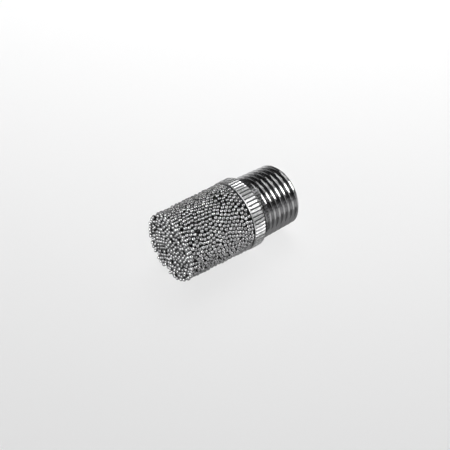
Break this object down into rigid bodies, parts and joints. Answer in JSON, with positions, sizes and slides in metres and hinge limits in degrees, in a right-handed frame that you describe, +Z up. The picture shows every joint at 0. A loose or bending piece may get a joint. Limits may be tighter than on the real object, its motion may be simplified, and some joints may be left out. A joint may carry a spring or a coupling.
{
  "type": "pneumatic muffler",
  "caption": "Pneumatic exhaust muffler: a tapered male pipe thread, a knurled collar and a blind cylindrical cup of sintered steel balls on one axis.",
  "frame": {"origin": "centre of the port end of the thread, where the air enters", "axes": "+X along the axis, out of the port end of the thread and into the port; the ball cup reaches towards -X; +Z is up when the muffler lies on its side"},
  "size_m": [0.0217, 0.0114, 0.0114],
  "materials": {
    "machined_steel": "bright machined stainless steel, polished thread flanks",
    "sintered_balls": "satin sintered stainless steel balls, darker in the gaps",
    "sintered_core": "matt sintered stainless steel"
  },
  "bodies": {
    "root": {"end_balls_centre": "sintered_balls", "end_balls_inner": "sintered_balls", "end_balls_outer": "sintered_balls", "end_balls_rim": "sintered_balls", "porous_core": "sintered_core", "side_balls_01": "sintered_balls", "side_balls_02": "sintered_balls", "side_balls_03": "sintered_balls", "side_balls_04": "sintered_balls", "side_balls_05": "sintered_balls", "side_balls_06": "sintered_balls", "side_balls_07": "sintered_balls", "side_balls_08": "sintered_balls", "side_balls_09": "sintered_balls", "side_balls_10": "sintered_balls", "side_balls_11": "sintered_balls", "side_balls_12": "sintered_balls", "side_balls_13": "sintered_balls", "side_balls_14": "sintered_balls", "side_balls_15": "sintered_balls", "side_balls_16": "sintered_balls", "side_balls_17": "sintered_balls", "side_balls_18": "sintered_balls", "side_balls_19": "sintered_balls", "threaded_base": "machined_steel"}
  },
  "joints": []
}
